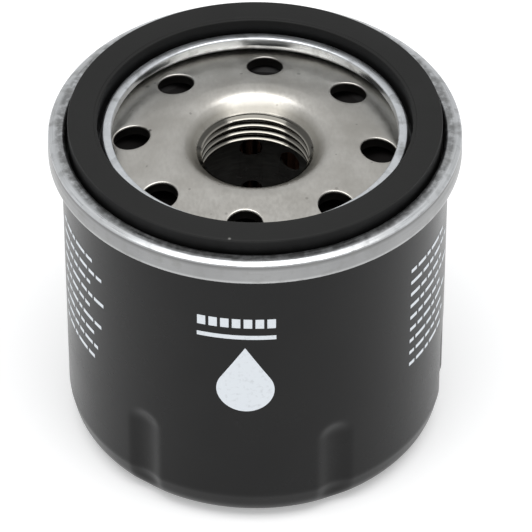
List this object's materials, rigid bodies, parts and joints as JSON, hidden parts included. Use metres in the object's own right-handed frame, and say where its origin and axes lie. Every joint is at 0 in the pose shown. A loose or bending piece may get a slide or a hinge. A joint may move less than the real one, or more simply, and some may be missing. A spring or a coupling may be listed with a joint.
{
  "type": "oil filter",
  "caption": "Spin-on engine oil filter: black can with wrench flutes, rolled steel lid, rubber gasket, threaded tapping plate, pleated element and bypass valve inside.",
  "frame": {"origin": "centre of the flat ring that the closed end stands on", "axes": "+Z along the filter's axis, from the closed end towards the gasket and the threaded hub; -Y is the side seen in the picture"},
  "size_m": [0.0712, 0.0712, 0.064],
  "materials": {
    "black_paint": "satin black baked paint on drawn steel",
    "lid_steel": "bright zinc plate",
    "plate_steel": "satin zinc plate, pressed",
    "plain_steel": "plain cold-rolled sheet",
    "dark_steel": "oiled dark strip",
    "spring_steel": "oil-tempered wire",
    "gasket_rubber": "moulded nitrile, matt with fine bloom",
    "valve_rubber": "thin moulded nitrile",
    "filter_paper": "resin-cured pleated paper",
    "adhesive": "cured plastisol",
    "seam_compound": "lining compound in the seam"
  },
  "bodies": {
    "housing": {"can": "black_paint", "seaming_lid": "lid_steel", "seam_compound": "seam_compound", "gasket": "gasket_rubber", "tapping_plate": "plate_steel", "element_spring": "spring_steel"},
    "drainback_valve": {"anti_drainback_valve": "valve_rubber"},
    "element": {"upper_end_cap": "plain_steel", "upper_potting": "adhesive", "filter_media": "filter_paper", "media_seam_clip": "plain_steel", "centre_tube": "dark_steel", "lower_potting": "adhesive", "lower_end_cap": "plain_steel", "bypass_body": "plain_steel", "bypass_retainer": "plain_steel", "bypass_spring": "spring_steel"},
    "bypass_valve": {"bypass_disc": "plain_steel", "bypass_seal": "gasket_rubber", "bypass_rivet": "plain_steel"}
  },
  "joints": [
    {"name": "drainback_lift", "type": "slide", "parent": "housing", "child": "drainback_valve", "axis": [0, 0, -1], "range_m": [0, 0.0015], "stiffness_N_per_m": 600, "springref_m": -0.0005, "deforming": ["anti_drainback_valve"]},
    {"name": "element_float", "type": "slide", "parent": "housing", "child": "element", "axis": [0, 0, -1], "range_m": [0, 0.001], "stiffness_N_per_m": 6000, "springref_m": -0.008, "deforming": ["element_spring"]},
    {"name": "bypass_lift", "type": "slide", "parent": "element", "child": "bypass_valve", "axis": [0, 0, 1], "range_m": [0, 0.0025], "stiffness_N_per_m": 2000, "springref_m": -0.0055, "deforming": ["bypass_spring"]}
  ]
}
